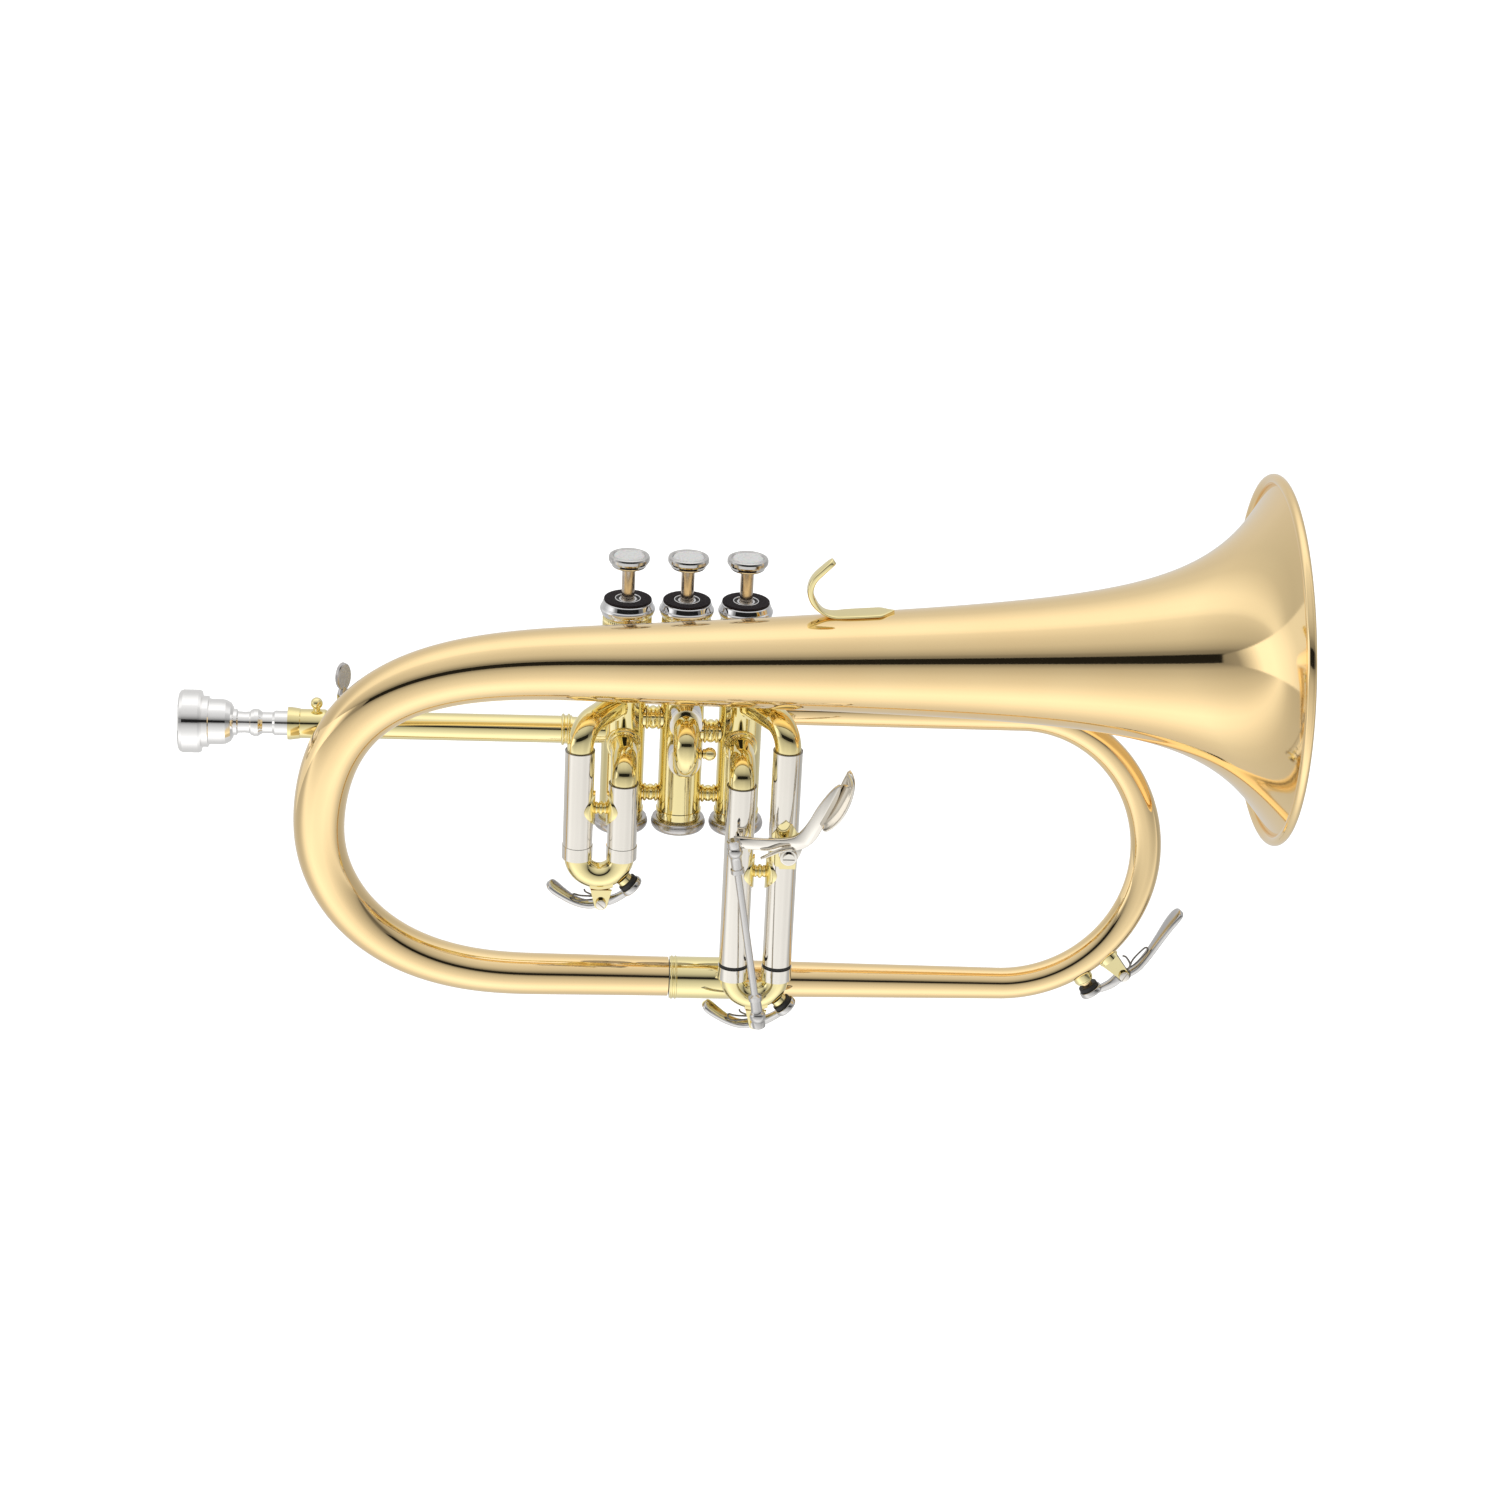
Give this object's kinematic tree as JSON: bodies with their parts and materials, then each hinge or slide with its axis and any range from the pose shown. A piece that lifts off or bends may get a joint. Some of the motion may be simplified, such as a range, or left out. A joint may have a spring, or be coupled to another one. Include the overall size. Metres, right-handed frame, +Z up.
{
  "type": "flugelhorn",
  "caption": "flugelhorn with a wide conical bell wrapped in one loop, piston valves with finger buttons, tuning slides, a slide trigger with link rod, water keys and a detachable mouthpiece",
  "frame": {"origin": "on the second valve axis at the height of the leadpipe bore, where the hand holds the valves", "axes": "+X from the mouthpiece towards the bell, +Z up along the valves towards the finger buttons, +Y towards the player's left"},
  "size_m": [0.4519, 0.1523, 0.2458],
  "materials": {
    "rose_brass": "clear-lacquered rose brass, mirror smooth",
    "yellow_brass": "clear-lacquered yellow brass, polished",
    "nickel": "polished nickel silver",
    "silver": "silver plate, mirror polished",
    "chrome_trim": "bright plated trim",
    "monel": "lapped valve metal",
    "spring_steel": "plain spring wire",
    "satin_steel": "satin nickelled steel",
    "felt": "dense black wool felt",
    "rubber": "soft black rubber",
    "pearl": "pale pearl inlay, softly iridescent"
  },
  "bodies": {
    "horn": {"bell_flare": "rose_brass", "bell_bow": "rose_brass", "bow_ferrule": "yellow_brass", "crook": "rose_brass", "finger_hook": "yellow_brass", "bell_braces": "yellow_brass", "leadpipe_outer": "yellow_brass", "leadpipe_clamp": "yellow_brass", "casing_1": "yellow_brass", "casing_2": "yellow_brass", "casing_3": "yellow_brass", "crossover_tubes": "yellow_brass", "casing_braces": "yellow_brass", "top_caps": "chrome_trim", "cap_felts": "felt", "bottom_caps": "nickel", "valve_spring_1": "spring_steel", "valve_spring_2": "spring_steel", "valve_spring_3": "spring_steel", "slide1_outer": "nickel", "slide1_elbows": "yellow_brass", "slide1_brace": "yellow_brass", "slide2_outer": "nickel", "slide3_outer": "nickel", "slide3_elbows": "yellow_brass", "slide3_brace": "yellow_brass", "bend_key_saddle": "yellow_brass", "trigger_saddle": "yellow_brass", "trigger_screw": "nickel"},
    "receiver": {"receiver": "yellow_brass"},
    "mouthpiece": {"mouthpiece": "silver"},
    "wing_screw": {"wing_screw": "nickel"},
    "valve_1": {"piston_1": "monel", "button_1": "chrome_trim", "pearl_1": "pearl"},
    "valve_2": {"piston_2": "monel", "button_2": "chrome_trim", "pearl_2": "pearl"},
    "valve_3": {"piston_3": "monel", "button_3": "chrome_trim", "pearl_3": "pearl"},
    "slide_1": {"slide1_inner": "nickel", "slide1_bow": "yellow_brass", "slide1_key_saddle": "yellow_brass"},
    "slide_1_key": {"slide1_key_lever": "nickel", "slide1_key_pad": "rubber"},
    "slide_2": {"slide2_inner": "nickel", "slide2_bow": "yellow_brass"},
    "slide_3": {"slide3_inner": "nickel", "slide3_bow": "yellow_brass", "slide3_o_rings": "rubber", "slide3_key_saddle": "yellow_brass", "link_rod": "satin_steel"},
    "slide_3_key": {"slide3_key_lever": "nickel", "slide3_key_pad": "rubber"},
    "bend_key": {"bend_key_lever": "nickel", "bend_key_pad": "rubber"},
    "trigger": {"trigger_lever": "nickel"}
  },
  "joints": [
    {"name": "valve_1_press", "type": "slide", "parent": "horn", "child": "valve_1", "axis": [0, 0, -1], "range_m": [0, 0.0135], "stiffness_N_per_m": 200, "springref_m": -0.01, "deforming": ["valve_spring_1"]},
    {"name": "valve_2_press", "type": "slide", "parent": "horn", "child": "valve_2", "axis": [0, 0, -1], "range_m": [0, 0.0135], "stiffness_N_per_m": 200, "springref_m": -0.01, "deforming": ["valve_spring_2"]},
    {"name": "valve_3_press", "type": "slide", "parent": "horn", "child": "valve_3", "axis": [0, 0, -1], "range_m": [0, 0.0135], "stiffness_N_per_m": 200, "springref_m": -0.01, "deforming": ["valve_spring_3"]},
    {"name": "slide_1_pull", "type": "slide", "parent": "horn", "child": "slide_1", "axis": [0, 0, -1], "range_m": [0, 0.012]},
    {"name": "slide_1_key", "type": "hinge", "parent": "slide_1", "child": "slide_1_key", "pos_m": [-0.0321, -0.0305, -0.0633], "axis": [0, 1, 0], "range_deg": [0, 12], "stiffness_Nm_per_rad": 0.02, "springref_deg": -34.38},
    {"name": "slide_2_pull", "type": "slide", "parent": "horn", "child": "slide_2", "axis": [0, -1, 0], "range_m": [0, 0.008]},
    {"name": "slide_3_pull", "type": "slide", "parent": "horn", "child": "slide_3", "axis": [0, 0, -1], "range_m": [0, 0.0099], "stiffness_N_per_m": 70, "springref_m": -0.02},
    {"name": "trigger_turn", "type": "hinge", "parent": "horn", "child": "trigger", "pos_m": [0.044, -0.041, -0.0364], "axis": [0, -1, 0], "range_deg": [0, 25.2]},
    {"name": "slide_3_key", "type": "hinge", "parent": "slide_3", "child": "slide_3_key", "pos_m": [0.0345, -0.0305, -0.118], "axis": [0, 1, 0], "range_deg": [0, 12], "stiffness_Nm_per_rad": 0.02, "springref_deg": -34.38},
    {"name": "bend_key_turn", "type": "hinge", "parent": "horn", "child": "bend_key", "pos_m": [0.19157, -0.0141, -0.10122], "axis": [0, -0.9922, 0.1249], "range_deg": [0, 12], "stiffness_Nm_per_rad": 0.02, "springref_deg": -34.38},
    {"name": "leadpipe_pull", "type": "slide", "parent": "horn", "child": "receiver", "axis": [-1, 0, 0], "range_m": [0, 0.02]},
    {"name": "mouthpiece_pull", "type": "slide", "parent": "receiver", "child": "mouthpiece", "axis": [-1, 0, 0], "range_m": [0, 0.03]},
    {"name": "wing_screw_turn", "type": "hinge", "parent": "horn", "child": "wing_screw", "pos_m": [-0.14, 0, 0.01], "axis": [0, 0, 1], "continuous": true}
  ],
  "couplings": [
    {"joint": "trigger_turn", "follows": "slide_3_pull", "rad_per_m": 44.074}
  ]
}
